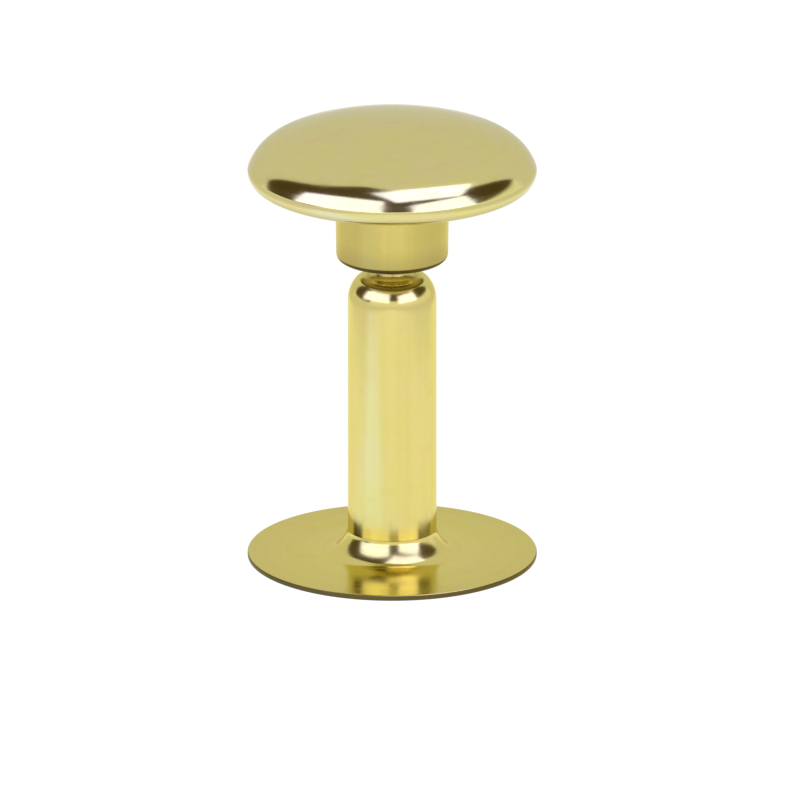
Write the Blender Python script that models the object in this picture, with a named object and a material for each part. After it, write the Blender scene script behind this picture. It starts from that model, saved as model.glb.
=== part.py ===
"""Single-cap tubular rivet for leather: a hollow post, and a two-piece cap resting on the post's tip.

Metres, +Z up the post. The origin is the centre of the flange's underside.
Every piece is turned about the Z axis, so each one is a profile of (radius, height) points spun round.
"""

import math

import bmesh
import bpy

MM = 0.001

# Facets
SEGMENTS = 40
FACET_ANGLE = 30.0  # degrees, the widest step along a rounded corner
FACET_LENGTH = 0.45 * MM
CROWN_STEPS = 5
MERGE_DISTANCE = 1e-8

# Post, drawn from one disc of sheet, so its wall is as thick as its flange
FLANGE_RADIUS = 5.0 * MM
FLANGE_THICKNESS = 0.20 * MM
FLANGE_TOP_ROUND = 0.07 * MM
FLANGE_BOTTOM_ROUND = 0.05 * MM
TUBE_RADIUS = 1.535 * MM
TUBE_WALL = FLANGE_THICKNESS

# Foot of the tube: a crease, a long gentle flare, and a tight round into the flange
FLARE_ROUND = 1.70 * MM
FLARE_START_ANGLE = 18.0  # degrees that the sheet turns outward at the crease
FLARE_END_ANGLE = 42.0
FOOT_ROUND = 0.50 * MM

# Shoulder that closes the tube: a wide round running into a tight one, then a flat ring
SHOULDER_START = 9.35 * MM
SHOULDER_ROUND = 1.10 * MM
SHOULDER_EDGE_ROUND = 0.35 * MM
SHOULDER_EDGE_ANGLE = 40.0

# Tip: a neck and a bulb wider than the hole in the cap's lip
NECK_RADIUS = 0.58 * MM
NECK_FILLET = 0.24 * MM
BULB_CENTRE = 10.66 * MM
BULB_ROUND = 0.22 * MM
BULB_CROWN_ANGLE = 45.0
BULB_UNDERCUT_ANGLE = -60.0

# Socket, the drawn eyelet inside the cap; its heights are measured from the underside of its lip
SOCKET_BASE = 10.80 * MM
SOCKET_RADIUS = 1.975 * MM
SOCKET_FOOT_RADIUS = 1.935 * MM
SOCKET_SHEET = 0.20 * MM
SOCKET_CORNER_ROUND = 0.24 * MM
SOCKET_FLANGE_UNDERSIDE = 2.94 * MM
SOCKET_FLANGE_RADIUS = 4.45 * MM
SOCKET_FLANGE_FILLET = 0.25 * MM
LIP_HOLE_RADIUS = 0.73 * MM
LIP_LOWER_ROUND = 0.10 * MM
LIP_UPPER_ROUND = 0.08 * MM

# Shell, the domed outside of the cap; its heights are measured from its widest plane
RIM_HEIGHT = 14.03 * MM
RIM_RADIUS = 5.0 * MM
RIM_UPPER_ROUND = 0.28 * MM
RIM_LOWER_ROUND = 0.51 * MM
RIM_ANGLE = 22.0  # degrees above level at which the rim's round runs into the haunch
HAUNCH_ROUND = 1.70 * MM
CROWN_ANGLE = 69.0  # degrees above level at which the haunch runs into the crown
SHELL_SHEET = 0.20 * MM
ROLLED_EDGE_RADIUS = 3.55 * MM


def arc(centre, radius, start, end):
    """Points of an arc in the (radius, height) plane, both ends included; angles in degrees from +radius."""
    turn = abs(end - start)
    steps = max(1, math.ceil(turn / FACET_ANGLE), math.ceil(math.radians(turn) * radius / FACET_LENGTH))
    angles = [math.radians(start + (end - start) * i / steps) for i in range(steps + 1)]
    return [(centre[0] + radius * math.cos(a), centre[1] + radius * math.sin(a)) for a in angles]


def next_centre(centre, radius, angle, next_radius):
    """Centre of the arc that runs on smoothly from another arc at the given angle."""
    turn = math.radians(angle)
    step = radius - next_radius
    return centre[0] + step * math.cos(turn), centre[1] + step * math.sin(turn)


def crown_arc(round_centre, round_radius, angle):
    """Centre height and radius of the arc on the axis that touches a corner's round at the given angle."""
    slope = math.radians(angle)
    height = round_centre[1] - round_centre[0] * math.tan(slope)
    return height, round_centre[0] / math.cos(slope) + round_radius


def crown(height, radius, start, end):
    """Points of an arc centred on the axis, in finer steps because its radius is large."""
    steps = CROWN_STEPS
    angles = [math.radians(start + (end - start) * i / steps) for i in range(steps + 1)]
    return [(max(0.0, radius * math.cos(a)), height + radius * math.sin(a)) for a in angles]


def distinct(points):
    """The points with each repeat of its neighbour dropped."""
    kept = [points[0]]
    for point in points[1:]:
        if math.dist(point, kept[-1]) > MERGE_DISTANCE:
            kept.append(point)
    return kept


def turned(name, profile, closed):
    """A solid spun about Z from a profile, which is a loop if closed, or else runs from axis to axis."""
    points = distinct(profile)
    bm = bmesh.new()
    verts = [bm.verts.new((radius, 0.0, height)) for radius, height in points]
    edges = [bm.edges.new(pair) for pair in zip(verts, verts[1:])]
    if closed:
        edges.append(bm.edges.new((verts[-1], verts[0])))
    bmesh.ops.spin(
        bm,
        geom=verts + edges,
        cent=(0.0, 0.0, 0.0),
        axis=(0.0, 0.0, 1.0),
        angle=2.0 * math.pi,
        steps=SEGMENTS,
        use_merge=True,
    )
    bmesh.ops.remove_doubles(bm, verts=bm.verts, dist=MERGE_DISTANCE)
    bmesh.ops.recalc_face_normals(bm, faces=bm.faces)
    mesh = bpy.data.meshes.new(name)
    bm.to_mesh(mesh)
    bm.free()
    mesh.shade_smooth()
    mesh.set_sharp_from_angle(angle=math.radians(40.0))
    piece = bpy.data.objects.new(name, mesh)
    bpy.context.scene.collection.objects.link(piece)
    return piece


def brass(name, colour, roughness):
    """Polished brass sheet as a Principled material."""
    material = bpy.data.materials.new(name)
    material.use_nodes = True
    shader = material.node_tree.nodes["Principled BSDF"]
    shader.inputs["Base Color"].default_value = (*colour, 1.0)
    shader.inputs["Metallic"].default_value = 1.0
    shader.inputs["Roughness"].default_value = roughness
    return material


def shoulder(wall):
    """The tube's rounded end, from its top ring out and down to the tube, set in by the wall thickness."""
    wide = (TUBE_RADIUS - SHOULDER_ROUND, SHOULDER_START)
    tight = next_centre(wide, SHOULDER_ROUND, SHOULDER_EDGE_ANGLE, SHOULDER_EDGE_ROUND)
    edge = arc(tight, SHOULDER_EDGE_ROUND - wall, 90.0, SHOULDER_EDGE_ANGLE)
    return edge + arc(wide, SHOULDER_ROUND - wall, SHOULDER_EDGE_ANGLE, 0.0)


def foot(wall):
    """The tube's flared foot, from its crease out and down to the flange, set in by the wall thickness."""
    crease, bend = 180.0 + FLARE_START_ANGLE, 180.0 + FLARE_END_ANGLE
    tight = (0.0, FLANGE_THICKNESS + FOOT_ROUND)
    wide = next_centre(tight, FOOT_ROUND, bend, FLARE_ROUND)
    shift = TUBE_RADIUS - wide[0] - FLARE_ROUND * math.cos(math.radians(crease))
    tight = (tight[0] + shift, tight[1])
    wide = (wide[0] + shift, wide[1])
    flare = arc(wide, FLARE_ROUND + wall, crease, bend)
    return flare + arc(tight, FOOT_ROUND + wall, bend, 270.0)


def tip(ring_height):
    """The bulb and the neck, from the top of the bulb down to the shoulder's flat ring."""
    bulb_centre = (NECK_RADIUS, BULB_CENTRE)
    height, radius = crown_arc(bulb_centre, BULB_ROUND, BULB_CROWN_ANGLE)
    top = crown(height, radius, 90.0, BULB_CROWN_ANGLE)
    bulb = arc(bulb_centre, BULB_ROUND, BULB_CROWN_ANGLE, BULB_UNDERCUT_ANGLE)
    fillet_centre = (NECK_RADIUS + NECK_FILLET, ring_height + NECK_FILLET)
    return top + bulb + arc(fillet_centre, NECK_FILLET, 180.0, 270.0)


def post():
    """Flat flange, hollow tube open below, rounded shoulder, and the solid tip that the cap sits on."""
    outer_shoulder = shoulder(0.0)
    outer_foot = foot(0.0)
    top_round = (FLANGE_RADIUS - FLANGE_TOP_ROUND, FLANGE_THICKNESS - FLANGE_TOP_ROUND)
    bottom_round = (FLANGE_RADIUS - FLANGE_BOTTOM_ROUND, FLANGE_BOTTOM_ROUND)
    bore_end = shoulder(TUBE_WALL)[::-1]
    profile = tip(outer_shoulder[0][1])
    profile += outer_shoulder
    profile += outer_foot
    profile += arc(top_round, FLANGE_TOP_ROUND, 90.0, 0.0)
    profile += arc(bottom_round, FLANGE_BOTTOM_ROUND, 0.0, -90.0)
    profile += foot(TUBE_WALL)[::-1]
    profile.append((TUBE_RADIUS - TUBE_WALL, outer_foot[0][1]))
    profile += bore_end
    profile.append((0.0, bore_end[-1][1]))
    return turned("post", profile, closed=False)


def cap_socket():
    """Drawn eyelet: a lip with the hole that the tip clicks into, a tube, and a flange held by the shell."""
    sheet = SOCKET_SHEET
    inner_radius = SOCKET_RADIUS - sheet
    lower_edge = (LIP_HOLE_RADIUS + LIP_LOWER_ROUND, LIP_LOWER_ROUND)
    upper_edge = (LIP_HOLE_RADIUS + LIP_UPPER_ROUND, sheet - LIP_UPPER_ROUND)
    corner = (SOCKET_FOOT_RADIUS - SOCKET_CORNER_ROUND, SOCKET_CORNER_ROUND)
    flare = (SOCKET_RADIUS + SOCKET_FLANGE_FILLET, SOCKET_FLANGE_UNDERSIDE - SOCKET_FLANGE_FILLET)
    rim = (SOCKET_FLANGE_RADIUS - sheet / 2, SOCKET_FLANGE_UNDERSIDE + sheet / 2)
    profile = arc(lower_edge, LIP_LOWER_ROUND, 180.0, 270.0)
    profile += arc(corner, SOCKET_CORNER_ROUND, 270.0, 360.0)
    profile += arc(flare, SOCKET_FLANGE_FILLET, 180.0, 90.0)
    profile += arc(rim, sheet / 2, -90.0, 90.0)
    profile += arc(flare, flare[0] - inner_radius, 90.0, 180.0)
    profile += arc(corner, SOCKET_CORNER_ROUND - sheet, 0.0, -90.0)
    profile += arc(upper_edge, LIP_UPPER_ROUND, 90.0, 180.0)
    piece = turned("cap_socket", profile, closed=True)
    piece.location.z = SOCKET_BASE
    return piece


def cap_shell():
    """Domed sheet whose rim is rolled under, so that its edge grips the socket's flange."""
    upper = (RIM_RADIUS - RIM_UPPER_ROUND, 0.0)
    lower = (RIM_RADIUS - RIM_LOWER_ROUND, 0.0)
    haunch = next_centre(upper, RIM_UPPER_ROUND, RIM_ANGLE, HAUNCH_ROUND)
    sheet = SHELL_SHEET
    height, radius = crown_arc(haunch, HAUNCH_ROUND, CROWN_ANGLE)
    edge = (ROLLED_EDGE_RADIUS + sheet / 2, -RIM_LOWER_ROUND + sheet / 2)
    profile = crown(height, radius, 90.0, CROWN_ANGLE)
    profile += arc(haunch, HAUNCH_ROUND, CROWN_ANGLE, RIM_ANGLE)
    profile += arc(upper, RIM_UPPER_ROUND, RIM_ANGLE, 0.0)
    profile += arc(lower, RIM_LOWER_ROUND, 0.0, -90.0)
    profile += arc(edge, sheet / 2, 270.0, 90.0)
    profile += arc(lower, RIM_LOWER_ROUND - sheet, -90.0, 0.0)
    profile += arc(upper, RIM_UPPER_ROUND - sheet, 0.0, RIM_ANGLE)
    profile += arc(haunch, HAUNCH_ROUND - sheet, RIM_ANGLE, CROWN_ANGLE)
    profile += crown(height, radius - sheet, CROWN_ANGLE, 90.0)
    return turned("cap_shell", profile, closed=False)


def main():
    for old in list(bpy.data.objects):
        bpy.data.objects.remove(old, do_unlink=True)
    post_piece = post()
    post_piece.data.materials.append(brass("post_brass", (0.72, 0.60, 0.22), 0.24))
    socket_piece = cap_socket()
    socket_piece.data.materials.append(brass("socket_brass", (0.64, 0.53, 0.20), 0.34))
    shell_piece = cap_shell()
    shell_piece.data.materials.append(brass("cap_brass", (0.66, 0.57, 0.25), 0.22))
    shell_piece.parent = socket_piece
    shell_piece.location.z = RIM_HEIGHT - SOCKET_BASE


main()
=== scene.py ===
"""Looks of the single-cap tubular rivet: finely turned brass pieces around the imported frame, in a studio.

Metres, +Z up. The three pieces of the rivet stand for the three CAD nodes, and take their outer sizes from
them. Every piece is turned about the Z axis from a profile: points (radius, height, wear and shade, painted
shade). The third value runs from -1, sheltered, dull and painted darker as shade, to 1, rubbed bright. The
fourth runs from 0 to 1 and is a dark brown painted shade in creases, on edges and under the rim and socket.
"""

import math

import bpy
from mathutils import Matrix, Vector, noise


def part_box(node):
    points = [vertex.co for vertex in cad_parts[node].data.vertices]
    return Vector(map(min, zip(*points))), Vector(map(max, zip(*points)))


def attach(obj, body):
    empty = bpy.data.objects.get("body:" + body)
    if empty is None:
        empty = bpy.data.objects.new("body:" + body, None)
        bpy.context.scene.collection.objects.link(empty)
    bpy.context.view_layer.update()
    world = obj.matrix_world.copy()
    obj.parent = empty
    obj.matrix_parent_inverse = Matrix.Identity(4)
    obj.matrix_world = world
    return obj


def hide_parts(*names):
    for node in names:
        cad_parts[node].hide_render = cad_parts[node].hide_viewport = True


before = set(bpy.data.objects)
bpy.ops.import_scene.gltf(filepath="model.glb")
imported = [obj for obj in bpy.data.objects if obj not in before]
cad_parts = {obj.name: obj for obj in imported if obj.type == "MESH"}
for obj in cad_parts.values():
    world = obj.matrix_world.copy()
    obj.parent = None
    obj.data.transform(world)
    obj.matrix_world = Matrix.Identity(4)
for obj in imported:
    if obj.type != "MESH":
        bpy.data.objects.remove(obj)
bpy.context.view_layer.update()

MM = 0.001

# Outer sizes, from the frame
post_low, post_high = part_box("post")
socket_low, socket_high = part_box("cap_socket")
shell_low, shell_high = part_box("cap_shell")
FLANGE_RADIUS = post_high.x
SOCKET_BASE = socket_low.z
SOCKET_FLANGE_RADIUS = socket_high.x
SOCKET_FLANGE_TOP = socket_high.z
RIM_RADIUS = shell_high.x
SHELL_BASE = shell_low.z

# Post
FLANGE_THICKNESS = 0.20 * MM
FLANGE_TOP_ROUND = 0.07 * MM
FLANGE_BOTTOM_ROUND = 0.05 * MM
TUBE_RADIUS = 1.535 * MM
TUBE_WALL = FLANGE_THICKNESS
FLARE_ROUND = 1.70 * MM
FLARE_START_ANGLE = 18.0
FLARE_END_ANGLE = 42.0
FOOT_ROUND = 0.50 * MM
# Painted shade: a thin dark line along the crease where the tube meets its flared foot
CREASE_WIDTH = 0.04 * MM
CREASE_PAINTED_SHADE = 0.5
SHOULDER_START = 9.35 * MM
SHOULDER_ROUND = 1.10 * MM
SHOULDER_EDGE_ROUND = 0.35 * MM
SHOULDER_EDGE_ANGLE = 40.0
NECK_RADIUS = 0.58 * MM
NECK_FILLET = 0.24 * MM
BULB_CENTRE = 10.66 * MM
BULB_ROUND = 0.22 * MM
BULB_CROWN_ANGLE = 45.0
BULB_UNDERCUT_ANGLE = -60.0

# Socket, with heights from the underside of its lip
SOCKET_RADIUS = 1.975 * MM
SOCKET_FOOT_RADIUS = 1.935 * MM
SOCKET_SHEET = 0.20 * MM
SOCKET_CORNER_ROUND = 0.24 * MM
SOCKET_FLANGE_FILLET = 0.25 * MM
SOCKET_FLANGE_UNDERSIDE = SOCKET_FLANGE_TOP - SOCKET_BASE - SOCKET_SHEET
LIP_HOLE_RADIUS = 0.73 * MM
LIP_LOWER_ROUND = 0.10 * MM
LIP_UPPER_ROUND = 0.08 * MM

# Shell, with heights from its widest plane
RIM_UPPER_ROUND = 0.28 * MM
RIM_LOWER_ROUND = 0.51 * MM
RIM_HEIGHT = SHELL_BASE + RIM_LOWER_ROUND
RIM_ANGLE = 22.0
HAUNCH_ROUND = 1.70 * MM
CROWN_ANGLE = 69.0
SHELL_SHEET = 0.20 * MM
ROLLED_EDGE_RADIUS = 3.55 * MM

# Mesh fineness
SEGMENTS = 192
ARC_STEP = 6.0  # degrees
LONGEST_STEP = 0.16 * MM
REPEAT_DISTANCE = 1e-8

# Slight waviness of the pressed sheet
CAP_WAVE = 2.6 * MM
CAP_WAVE_HEIGHT = 0.004 * MM
FLANGE_WAVE = 3.0 * MM
FLANGE_WAVE_HEIGHT = 0.006 * MM
FLANGE_WAVE_INNER = (2.2 * MM, 3.2 * MM)
FLANGE_WAVE_OUTER = 4.6 * MM

# Brass: the marks are how strongly the grain shows, and above the drawn height it runs along Z
POST_COLOUR = (0.75, 0.65, 0.215)
SOCKET_COLOUR = (0.70, 0.59, 0.165)
CAP_COLOUR = (0.74, 0.66, 0.27)
POST_EDGE_TINT = (0.94, 0.91, 0.62)
CAP_EDGE_TINT = (0.88, 0.87, 0.80)
# Dark brown painted shade for creases, edges and undersides, and the roughness where it lies
PAINTED_SHADE_COLOUR = (0.060, 0.036, 0.007)
PAINTED_SHADE_ROUGHNESS = 0.42
POST_ROUGHNESS = 0.17
SOCKET_ROUGHNESS = 0.24
CAP_ROUGHNESS = 0.14
DRAWN_MARKS = 0.28
CAP_MARKS = 0.12
POST_DRAWN_ABOVE = 1.0 * MM
CAP_DRAWN_ABOVE = 2.0 * shell_high.z

# Floor: white paper, dimmer away from the rivet, with a cooler pool of light towards the left softbox
FLOOR_RADIUS = 6.0
FLOOR_SEGMENTS = 96
FLOOR_DROP = 0.01 * MM
FLOOR_PAPER = 0.10
FLOOR_GLOW = (0.97, 0.97, 0.95)
FLOOR_FAR_GLOW = (0.72, 0.72, 0.70)
NEAR_CENTRE = (0.0, 17.0 * MM, 0.0)
NEAR_HALF_WIDTH = 20.0 * MM
NEAR_HALF_LENGTH = 62.0 * MM
POOL_GLOW = (0.97, 1.09, 1.60)
POOL_AZIMUTH = -54.0
POOL_DISTANCE = 17.0 * MM
POOL_HALF_LENGTH = 22.0 * MM
POOL_HALF_WIDTH = 11.0 * MM

# Room
TENT_COLOUR = (0.78, 0.775, 0.77)
DARK_COLOUR = (0.080, 0.052, 0.012)
LOW_COLOUR = (0.95, 0.95, 0.93)
LOW_TOP = 0.36
LOW_LEFT_DROP = 0.26
LOW_RIGHT_DROP = 0.08
LOW_SOFTNESS = 0.04
TENT_FRONT = -0.02
TENT_NARROWING = 1.8
TENT_RIGHT_FRONT = -0.25
TENT_RIGHT_NARROWING = 2.6
TENT_SOFTNESS = 0.035

# Lamps
LIGHT_DISTANCE = 0.5
SOFTBOX_TINT = (0.47, 0.49, 1.0)
SOFTBOX_LEVEL = 3.3
TOP_PLACE = Vector((0.42, -0.385, 1.0))
TOP_TURN = 26.0
TOP_SIZE = (1.1, 0.62)

# Camera. Known fault: from about 1.33 m up, a view from another angle puts the rivet past that view's far clip,
# so it renders blank. 1.0 m shows it.
CAMERA_DISTANCE = 2.0
CAMERA_ELEVATION = 18.5
VIEW_WIDTH = 27.64 * MM
LOOK_AT = Vector((0.27 * MM, 0.0, 5.65 * MM))
SENSOR = 36.0


# Profiles

def arc(centre, radius, start, end, wear_and_shade=0.0, painted_shade=0.0):
    """Profile points of an arc, both ends included; angles in degrees from +radius."""
    turn = abs(end - start)
    steps = max(2, math.ceil(turn / ARC_STEP), math.ceil(math.radians(turn) * radius / LONGEST_STEP))
    angles = [math.radians(start + (end - start) * i / steps) for i in range(steps + 1)]
    return [
        (max(0.0, centre[0] + radius * math.cos(a)), centre[1] + radius * math.sin(a), wear_and_shade, painted_shade)
        for a in angles
    ]


def next_centre(centre, radius, angle, next_radius):
    """Centre of the arc that runs on smoothly from another arc at the given angle."""
    turn = math.radians(angle)
    step = radius - next_radius
    return centre[0] + step * math.cos(turn), centre[1] + step * math.sin(turn)


def crown_centre(round_centre, round_radius, angle):
    """Centre and radius of the arc on the axis that touches a corner's round at the given angle."""
    slope = math.radians(angle)
    height = round_centre[1] - round_centre[0] * math.tan(slope)
    return (0.0, height), round_centre[0] / math.cos(slope) + round_radius


def finely_stepped(points):
    """The profile without repeated points, and with long straight stretches cut into short steps."""
    fine = [points[0]]
    for point in points[1:]:
        start = fine[-1]
        length = math.dist(point[:2], start[:2])
        if length < REPEAT_DISTANCE:
            continue
        steps = math.ceil(length / LONGEST_STEP)
        for i in range(1, steps + 1):
            fine.append(tuple(a + (b - a) * i / steps for a, b in zip(start, point)))
    return fine


def shoulder(wall, wear_and_shade):
    """The tube's rounded end, from its top ring out and down to the tube, set in by the wall thickness."""
    wide = (TUBE_RADIUS - SHOULDER_ROUND, SHOULDER_START)
    tight = next_centre(wide, SHOULDER_ROUND, SHOULDER_EDGE_ANGLE, SHOULDER_EDGE_ROUND)
    edge = arc(tight, SHOULDER_EDGE_ROUND - wall, 90.0, SHOULDER_EDGE_ANGLE, wear_and_shade)
    return edge + arc(wide, SHOULDER_ROUND - wall, SHOULDER_EDGE_ANGLE, 0.0, wear_and_shade)


def foot(wall, wear_and_shade):
    """The tube's flared foot, from its crease out and down to the flange, set in by the wall thickness."""
    crease, bend = 180.0 + FLARE_START_ANGLE, 180.0 + FLARE_END_ANGLE
    tight = (0.0, FLANGE_THICKNESS + FOOT_ROUND)
    wide = next_centre(tight, FOOT_ROUND, bend, FLARE_ROUND)
    shift = TUBE_RADIUS - wide[0] - FLARE_ROUND * math.cos(math.radians(crease))
    tight = (tight[0] + shift, tight[1])
    wide = (wide[0] + shift, wide[1])
    flare = arc(wide, FLARE_ROUND + wall, crease, bend, wear_and_shade)
    return flare + arc(tight, FOOT_ROUND + wall, bend, 270.0, wear_and_shade)


def post_profile():
    """Bulb, neck, shoulder, tube, flange, and back up the bore to the axis."""
    outer_shoulder = shoulder(0.0, 0.3)
    ring_height = outer_shoulder[0][1]
    bulb = (NECK_RADIUS, BULB_CENTRE)
    top_centre, top_radius = crown_centre(bulb, BULB_ROUND, BULB_CROWN_ANGLE)
    neck = (NECK_RADIUS + NECK_FILLET, ring_height + NECK_FILLET)
    outer_foot = foot(0.0, 0.0)
    crease = outer_foot[0][1]
    top_round = (FLANGE_RADIUS - FLANGE_TOP_ROUND, FLANGE_THICKNESS - FLANGE_TOP_ROUND)
    bottom_round = (FLANGE_RADIUS - FLANGE_BOTTOM_ROUND, FLANGE_BOTTOM_ROUND)
    bore_end = shoulder(TUBE_WALL, -1.0)[::-1]
    profile = arc(top_centre, top_radius, 90.0, BULB_CROWN_ANGLE, 0.6)
    profile += arc(bulb, BULB_ROUND, BULB_CROWN_ANGLE, BULB_UNDERCUT_ANGLE, 0.8)
    # Painted shade in the fillet under the bulb's neck: darker and duller, with some dark brown
    profile += arc(neck, NECK_FILLET, 180.0, 270.0, -0.4, 0.15)
    profile += outer_shoulder
    # A thin line of painted shade at the crease above the foot
    profile.append((TUBE_RADIUS, crease + CREASE_WIDTH, 0.0, 0.0))
    profile.append((TUBE_RADIUS, crease + CREASE_WIDTH / 4, 0.0, CREASE_PAINTED_SHADE))
    profile += outer_foot
    # Painted shade: the flange's outer edge and its lower round are dark brown
    profile += arc(top_round, FLANGE_TOP_ROUND, 90.0, 45.0, 0.4, 0.1)
    profile += arc(top_round, FLANGE_TOP_ROUND, 45.0, 0.0, 0.0, 0.9)
    profile += arc(bottom_round, FLANGE_BOTTOM_ROUND, 0.0, -90.0, 0.0, 0.9)
    profile += foot(TUBE_WALL, 0.3)[::-1]
    profile.append((TUBE_RADIUS - TUBE_WALL, crease, 0.0, 0.0))
    # The bore's end is painted darker as shade
    profile += bore_end
    profile.append((0.0, bore_end[-1][1], -1.0, 0.0))
    return profile


def socket_profile():
    """Lip with its hole, corner, tube, flange and back down the inside."""
    sheet = SOCKET_SHEET
    lower_edge = (LIP_HOLE_RADIUS + LIP_LOWER_ROUND, LIP_LOWER_ROUND)
    upper_edge = (LIP_HOLE_RADIUS + LIP_UPPER_ROUND, sheet - LIP_UPPER_ROUND)
    corner = (SOCKET_FOOT_RADIUS - SOCKET_CORNER_ROUND, SOCKET_CORNER_ROUND)
    flare = (SOCKET_RADIUS + SOCKET_FLANGE_FILLET, SOCKET_FLANGE_UNDERSIDE - SOCKET_FLANGE_FILLET)
    rim = (SOCKET_FLANGE_RADIUS - sheet / 2, SOCKET_FLANGE_UNDERSIDE + sheet / 2)
    # Painted shade: the lip's lower edge, and dark brown along the bottom corner that fades up the tube
    profile = arc(lower_edge, LIP_LOWER_ROUND, 180.0, 270.0, 0.6, 0.3)
    profile += arc(corner, SOCKET_CORNER_ROUND, 270.0, 345.0, 0.0, 0.95)
    profile += arc(corner, SOCKET_CORNER_ROUND, 354.0, 360.0, 0.0, 0.30)
    profile.append((SOCKET_FOOT_RADIUS + 0.01 * MM, 0.9 * MM, 0.0, 0.08))
    profile += arc(flare, SOCKET_FLANGE_FILLET, 180.0, 90.0, 0.0, 0.0)
    profile += arc(rim, sheet / 2, -90.0, 90.0, 0.2)
    # The inside of the flange and tube is painted darker as shade
    profile += arc(flare, SOCKET_FLANGE_FILLET + sheet, 90.0, 180.0, -0.6)
    profile += arc(corner, SOCKET_CORNER_ROUND - sheet, 0.0, -90.0, -1.0)
    profile += arc(upper_edge, LIP_UPPER_ROUND, 90.0, 180.0, 0.2)
    profile.append(profile[0])
    return [(radius, height + SOCKET_BASE, *state) for radius, height, *state in profile]


def shell_profile():
    """Crown, haunch, rim, rolled edge and back along the inside to the axis."""
    sheet = SHELL_SHEET
    upper = (RIM_RADIUS - RIM_UPPER_ROUND, 0.0)
    lower = (RIM_RADIUS - RIM_LOWER_ROUND, 0.0)
    haunch = next_centre(upper, RIM_UPPER_ROUND, RIM_ANGLE, HAUNCH_ROUND)
    top, top_radius = crown_centre(haunch, HAUNCH_ROUND, CROWN_ANGLE)
    edge = (ROLLED_EDGE_RADIUS + sheet / 2, -RIM_LOWER_ROUND + sheet / 2)
    profile = arc(top, top_radius, 90.0, CROWN_ANGLE, 0.0)
    profile += arc(haunch, HAUNCH_ROUND, CROWN_ANGLE, RIM_ANGLE, 0.0)
    profile += arc(upper, RIM_UPPER_ROUND, RIM_ANGLE, 0.0, 0.3)
    profile += arc(lower, RIM_LOWER_ROUND, 0.0, -20.0, 0.2)
    # Painted shade under the rim and on the rolled edge
    profile += arc(lower, RIM_LOWER_ROUND, -40.0, -90.0, 0.0, 0.20)
    profile += arc(edge, sheet / 2, 270.0, 90.0, 0.0, 0.3)
    # The inside of the shell is painted darker as shade
    profile += arc(lower, RIM_LOWER_ROUND - sheet, -90.0, 0.0, -1.0)
    profile += arc(upper, RIM_UPPER_ROUND - sheet, 0.0, RIM_ANGLE, -1.0)
    profile += arc(haunch, HAUNCH_ROUND - sheet, RIM_ANGLE, CROWN_ANGLE, -1.0)
    profile += arc(top, top_radius - sheet, CROWN_ANGLE, 90.0, -1.0)
    return [(radius, height + RIM_HEIGHT, *state) for radius, height, *state in profile]


# Meshes

def turned(name, profile):
    """A mesh spun about Z from a profile, which runs from axis to axis or ends where it starts."""
    rows = finely_stepped(profile)
    closed = math.dist(rows[0][:2], rows[-1][:2]) < REPEAT_DISTANCE
    if closed:
        rows.pop()
    verts, wears_and_shades, painted_shades, rings = [], [], [], []
    for radius, height, wear_and_shade, painted_shade in rows:
        count = 1 if radius < REPEAT_DISTANCE else SEGMENTS
        rings.append([len(verts) + i % count for i in range(SEGMENTS)])
        for i in range(count):
            turn = 2.0 * math.pi * i / SEGMENTS
            verts.append((radius * math.cos(turn), radius * math.sin(turn), height))
            wears_and_shades.append(wear_and_shade)
            painted_shades.append(painted_shade)
    pairs = list(zip(rings, rings[1:]))
    if closed:
        pairs.append((rings[-1], rings[0]))
    faces = []
    for upper, lower in pairs:
        for i in range(SEGMENTS):
            j = (i + 1) % SEGMENTS
            corners = [upper[i], lower[i], lower[j], upper[j]]
            faces.append([c for k, c in enumerate(corners) if c != corners[k - 1]])
    mesh = bpy.data.meshes.new(name)
    mesh.from_pydata(verts, [], faces)
    mesh.validate()
    for attribute_name, values in (("wear_and_shade", wears_and_shades), ("painted_shade", painted_shades)):
        attribute = mesh.attributes.new(attribute_name, "FLOAT", "POINT")
        attribute.data.foreach_set("value", values)
    mesh.shade_smooth()
    piece = bpy.data.objects.new(name, mesh)
    bpy.context.scene.collection.objects.link(piece)
    return piece


def make_uneven(piece, wave, height, share):
    """Raises and lowers the surface smoothly; share(place) says how much of the height a place takes."""
    normals = [vertex.normal.copy() for vertex in piece.data.vertices]
    for vertex, normal in zip(piece.data.vertices, normals):
        amount = share(vertex.co)
        if amount > 0.0:
            vertex.co += normal * (amount * height * noise.noise(vertex.co / wave))
    piece.data.update()


def fade(value, low, high):
    """0 below low, 1 above high, and a smooth step between."""
    t = min(1.0, max(0.0, (value - low) / (high - low)))
    return t * t * (3.0 - 2.0 * t)


def on_flange_top(place):
    """1 on the flange's upper face, fading out at the tube's foot and at the rim."""
    radius = math.hypot(place.x, place.y)
    if place.z < FLANGE_THICKNESS / 2:
        return 0.0
    return fade(radius, *FLANGE_WAVE_INNER) * fade(-radius, -FLANGE_RADIUS, -FLANGE_WAVE_OUTER)


def on_crown(place):
    """1 on the cap's outer face, fading out towards the rim's underside."""
    return fade(place.z, RIM_HEIGHT - RIM_LOWER_ROUND, RIM_HEIGHT)


# Materials

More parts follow.
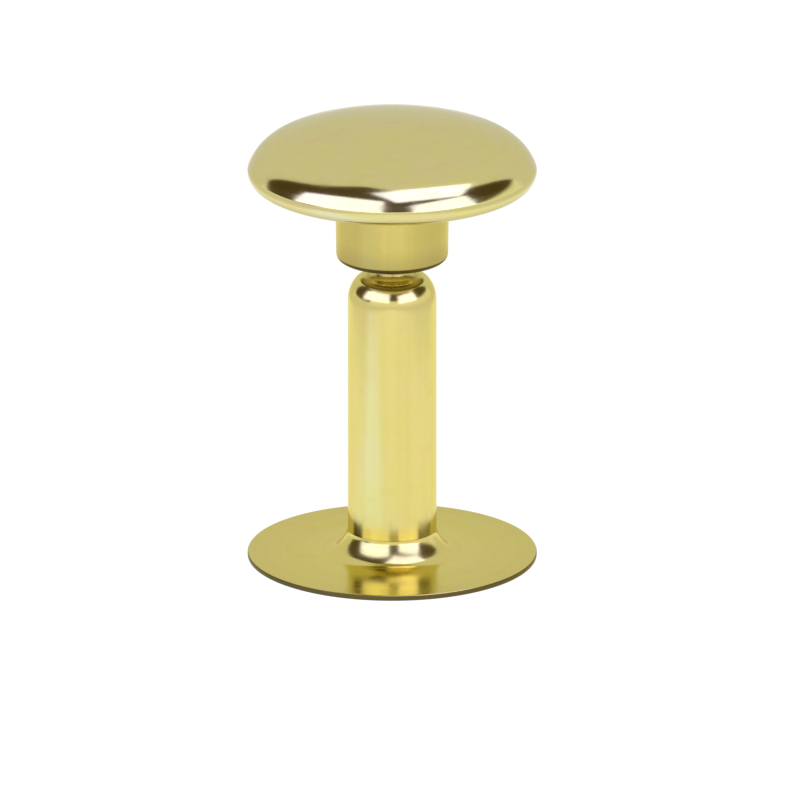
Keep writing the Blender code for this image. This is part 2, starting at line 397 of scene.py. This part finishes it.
class Nodes:
    """Short calls for building a node tree."""

    def __init__(self, tree):
        self.tree = tree
        tree.nodes.clear()

    def set(self, socket, value):
        if isinstance(value, bpy.types.NodeSocket):
            self.tree.links.new(value, socket)
        elif socket.type == "RGBA":
            socket.default_value = (*value[:3], 1.0)
        else:
            socket.default_value = value

    def add(self, kind, inputs=(), **settings):
        node = self.tree.nodes.new(kind)
        for key, value in settings.items():
            setattr(node, key, value)
        for key, value in dict(inputs).items():
            self.set(node.inputs[key], value)
        return node

    def math(self, operation, *values, clamp=False):
        inputs = dict(enumerate(values))
        return self.add("ShaderNodeMath", inputs, operation=operation, use_clamp=clamp).outputs[0]

    def smooth(self, value, low, high, to_low=0.0, to_high=1.0):
        """The value mapped from low..high to to_low..to_high with soft ends."""
        inputs = {"Value": value, "From Min": low, "From Max": high, "To Min": to_low, "To Max": to_high}
        return self.add("ShaderNodeMapRange", inputs, interpolation_type="SMOOTHSTEP").outputs[0]

    def mix(self, factor, first, second):
        return self.add("ShaderNodeMix", {0: factor, 6: first, 7: second}, data_type="RGBA").outputs[2]

    def noise(self, place, scale, detail=2.0):
        inputs = {"Vector": place, "Scale": scale, "Detail": detail, "Roughness": 0.55}
        return self.add("ShaderNodeTexNoise", inputs).outputs["Fac"]


def shaded(colour, *factors):
    """The colour with each channel multiplied by its factor."""
    return tuple(channel * factor for channel, factor in zip(colour, factors))


def brass(name, colour, edge_tint, roughness, drawn_above, marked):
    """Polished brass: mottled, rubbed bright on edges, dull and painted darker as shade where sheltered, and
    painted dark brown as shade where the mesh says.

    Above the height drawn_above the sheet was drawn into a tube, which leaves fine streaks along Z. Below it
    the marks are rings about the axis. The share marked says how strongly they show.
    """
    material = bpy.data.materials.new(name)
    material.use_nodes = True
    n = Nodes(material.node_tree)
    place = n.add("ShaderNodeTexCoord").outputs["Object"]
    x, y, z = n.add("ShaderNodeSeparateXYZ", {0: place}).outputs
    wear_and_shade = n.add("ShaderNodeAttribute", attribute_name="wear_and_shade").outputs["Fac"]
    painted_shade = n.add("ShaderNodeAttribute", attribute_name="painted_shade").outputs["Fac"]
    radius = n.math("SQRT", n.math("ADD", n.math("MULTIPLY", x, x), n.math("MULTIPLY", y, y)))

    across = n.add("ShaderNodeCombineXYZ", {0: x, 1: y, 2: n.math("MULTIPLY", z, 0.03)}).outputs[0]
    around = n.add("ShaderNodeCombineXYZ", {0: radius, 1: n.math("MULTIPLY", z, 0.5)}).outputs[0]
    drawn = n.smooth(z, drawn_above - 0.3 * MM, drawn_above)
    marks = n.noise(around, 5200.0)
    marks = n.add("ShaderNodeMix", {0: drawn, 2: marks, 3: n.noise(across, 3600.0)}).outputs[0]

    mottle = n.smooth(n.noise(place, 520.0, 3.0), 0.32, 0.68)
    patches = n.smooth(n.noise(place, 1500.0, 4.0), 0.50, 0.75)
    # Painted shade: sheltered places, where the wear value is below zero, get a darker, duller colour
    painted_recess_shade = n.smooth(wear_and_shade, -0.05, -1.0)
    rubbed = n.smooth(wear_and_shade, 0.05, 1.0)

    base = n.mix(mottle, shaded(colour, 0.985, 1.005, 0.92), shaded(colour, 1.015, 0.985, 1.09))
    base = n.mix(n.smooth(marks, 0.35, 0.70, 0.0, marked), base, shaded(colour, 0.93, 0.90, 0.80))
    base = n.mix(n.math("MULTIPLY", patches, 0.16), base, shaded(colour, 0.86, 0.78, 0.60))
    # Painted shade in sheltered places
    base = n.mix(n.math("MULTIPLY", painted_recess_shade, 0.50), base, shaded(colour, 0.80, 0.70, 0.52))
    base = n.mix(n.math("MULTIPLY", rubbed, 0.40), base, shaded(colour, 1.10, 1.12, 1.30))
    # Painted shade: dark brown where the mesh's last profile value says, in creases, on edges and under the rim
    # and socket
    base = n.mix(painted_shade, base, PAINTED_SHADE_COLOUR)

    rough = n.smooth(marks, 0.3, 0.7, roughness - 0.02, roughness + 0.03)
    rough = n.math("ADD", rough, n.math("MULTIPLY", patches, 0.04))
    rough = n.math("ADD", rough, n.math("MULTIPLY", painted_recess_shade, 0.14))
    rough = n.math("ADD", rough, n.math("MULTIPLY", painted_shade, PAINTED_SHADE_ROUGHNESS - roughness))
    bump = n.add("ShaderNodeBump", {"Strength": marked, "Distance": 0.0006 * MM, "Height": marks})
    finish = {
        "Base Color": base,
        "Metallic": 1.0,
        "Roughness": rough,
        "Specular Tint": edge_tint,
        "Normal": bump.outputs[0],
    }
    shader = n.add("ShaderNodeBsdfPrincipled", finish)
    n.add("ShaderNodeOutputMaterial", {0: shader.outputs[0]})
    return material


def floor_material():
    """Matt white paper that also glows a little, which keeps its shadows as light as under a light tent."""
    material = bpy.data.materials.new("floor_white")
    material.use_nodes = True
    n = Nodes(material.node_tree)
    place = n.add("ShaderNodeTexCoord").outputs["Object"]
    pool_frame = {
        "Vector": place,
        "Location": direction(POOL_AZIMUTH, 0.0) * POOL_DISTANCE,
        "Rotation": (0.0, 0.0, math.radians(POOL_AZIMUTH - 90.0)),
        "Scale": (POOL_HALF_LENGTH, POOL_HALF_WIDTH, 1.0),
    }
    inside = n.add("ShaderNodeMapping", pool_frame, vector_type="TEXTURE").outputs[0]
    reach = n.add("ShaderNodeVectorMath", {0: inside}, operation="LENGTH").outputs["Value"]
    near_frame = {"Vector": place, "Location": NEAR_CENTRE, "Scale": (NEAR_HALF_WIDTH, NEAR_HALF_LENGTH, 1.0)}
    near = n.add("ShaderNodeMapping", near_frame, vector_type="TEXTURE").outputs[0]
    far = n.smooth(n.add("ShaderNodeVectorMath", {0: near}, operation="LENGTH").outputs["Value"], 1.0, 1.7)
    glow_colour = n.mix(n.smooth(reach, 1.0, 0.1), n.mix(far, FLOOR_GLOW, FLOOR_FAR_GLOW), POOL_GLOW)
    paper = n.add("ShaderNodeBsdfDiffuse", {"Color": (FLOOR_PAPER, FLOOR_PAPER, FLOOR_PAPER)})
    glow = n.add("ShaderNodeEmission", {"Color": glow_colour})
    both = n.add("ShaderNodeAddShader", {0: paper.outputs[0], 1: glow.outputs[0]})
    n.add("ShaderNodeOutputMaterial", {0: both.outputs[0]})
    return material


# Studio

def direction(azimuth, elevation):
    """Unit vector; azimuth is in degrees from the camera's side, -Y, towards +X."""
    a, e = math.radians(azimuth), math.radians(elevation)
    return Vector((math.sin(a) * math.cos(e), -math.cos(a) * math.cos(e), math.sin(e)))


def lamp(name, place, rotation, width, height):
    """A softbox that shows in reflections but not to the camera; sizes in light distances."""
    light = bpy.data.lights.new(name, "AREA")
    light.shape = "RECTANGLE"
    light.size = width * LIGHT_DISTANCE
    light.size_y = height * LIGHT_DISTANCE
    light.energy = SOFTBOX_LEVEL * math.pi * light.size * light.size_y
    light.color = SOFTBOX_TINT
    panel = bpy.data.objects.new(name, light)
    panel.location = place * LIGHT_DISTANCE
    panel.rotation_euler = rotation
    panel.visible_camera = False
    bpy.context.scene.collection.objects.link(panel)


def upright_lamp(name, facing, first, last, low, high):
    """An upright softbox square to the azimuth facing, between two azimuths and two elevations."""
    way, along = direction(facing, 0.0), direction(facing + 90.0, 0.0)
    left, right = math.tan(math.radians(first - facing)), math.tan(math.radians(last - facing))
    bottom, top = math.tan(math.radians(low)), math.tan(math.radians(high))
    place = way + along * ((left + right) / 2) + Vector((0.0, 0.0, (bottom + top) / 2))
    rotation = way.to_track_quat("Z", "Y").to_euler()
    lamp(name, place, rotation, right - left, top - bottom)


def studio_world():
    """A pale tent behind and above, a dark warm room in front of it, and a pale band low in front."""
    world = bpy.data.worlds.new("studio")
    world.use_nodes = True
    bpy.context.scene.world = world
    n = Nodes(world.node_tree)
    way = n.add("ShaderNodeTexCoord").outputs["Generated"]
    side, back, up = n.add("ShaderNodeSeparateXYZ", {0: way}).outputs
    front_edge = n.smooth(side, -0.25, 0.05, TENT_FRONT, TENT_RIGHT_FRONT)
    narrowing = n.smooth(side, -0.25, 0.05, TENT_NARROWING, TENT_RIGHT_NARROWING)
    narrowing = n.math("MULTIPLY", n.math("POWER", n.math("ABSOLUTE", side), 6.0), narrowing)
    depth = n.math("SUBTRACT", n.math("SUBTRACT", back, narrowing), front_edge)
    tent = n.smooth(depth, -TENT_SOFTNESS, TENT_SOFTNESS)
    left_drop = n.smooth(side, -0.92, -0.75, LOW_LEFT_DROP, 0.0)
    right_drop = n.smooth(side, 0.75, 0.92, 0.0, LOW_RIGHT_DROP)
    height = n.math("ADD", up, n.math("ADD", left_drop, right_drop))
    front = n.mix(n.smooth(height, LOW_TOP - LOW_SOFTNESS, LOW_TOP + LOW_SOFTNESS), LOW_COLOUR, DARK_COLOUR)
    shade = n.add("ShaderNodeBackground", {"Color": n.mix(tent, front, TENT_COLOUR)})
    n.add("ShaderNodeOutputWorld", {0: shade.outputs[0]})


def studio():
    """Floor, world, softboxes, and the camera at the angle of a product shot."""
    bpy.ops.mesh.primitive_circle_add(
        vertices=FLOOR_SEGMENTS, radius=FLOOR_RADIUS, fill_type="NGON", location=(0.0, 0.0, -FLOOR_DROP)
    )
    floor = bpy.context.object
    floor.name = "floor"
    floor.data.materials.append(floor_material())
    studio_world()
    upright_lamp("softbox_left", -28.0, -84.0, -8.0, 18.0, 52.0)
    upright_lamp("softbox_right", 44.0, 17.0, 71.0, 16.0, 43.0)
    lamp("softbox_top", TOP_PLACE, (0.0, 0.0, math.radians(TOP_TURN)), *TOP_SIZE)
    lens = bpy.data.cameras.new("camera")
    lens.sensor_width = SENSOR
    lens.lens = SENSOR * CAMERA_DISTANCE / VIEW_WIDTH
    camera = bpy.data.objects.new("camera", lens)
    toward = direction(0.0, CAMERA_ELEVATION)
    camera.location = LOOK_AT + toward * CAMERA_DISTANCE
    camera.rotation_euler = toward.to_track_quat("Z", "Y").to_euler()
    bpy.context.scene.collection.objects.link(camera)
    bpy.context.scene.camera = camera
    bpy.context.scene.view_settings.view_transform = "Standard"


def rivet():
    """The three pieces, each riding on its body and standing for its CAD node."""
    post = turned("rivet_post", post_profile())
    make_uneven(post, FLANGE_WAVE, FLANGE_WAVE_HEIGHT, on_flange_top)
    post_look = (POST_COLOUR, POST_EDGE_TINT, POST_ROUGHNESS, POST_DRAWN_ABOVE, DRAWN_MARKS)
    post.data.materials.append(brass("post_brass", *post_look))
    socket = turned("rivet_socket", socket_profile())
    socket_look = (SOCKET_COLOUR, POST_EDGE_TINT, SOCKET_ROUGHNESS, SOCKET_BASE, DRAWN_MARKS)
    socket.data.materials.append(brass("socket_brass", *socket_look))
    cap = turned("rivet_cap", shell_profile())
    make_uneven(cap, CAP_WAVE, CAP_WAVE_HEIGHT, on_crown)
    cap_look = (CAP_COLOUR, CAP_EDGE_TINT, CAP_ROUGHNESS, CAP_DRAWN_ABOVE, CAP_MARKS)
    cap.data.materials.append(brass("cap_brass", *cap_look))
    for piece, body, node, slot in (
        (post, "post", "post", "post_brass"),
        (socket, "socket", "cap_socket", "socket_brass"),
        (cap, "cap", "cap_shell", "cap_brass"),
    ):
        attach(piece, body)
        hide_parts(node)


rivet()
studio()
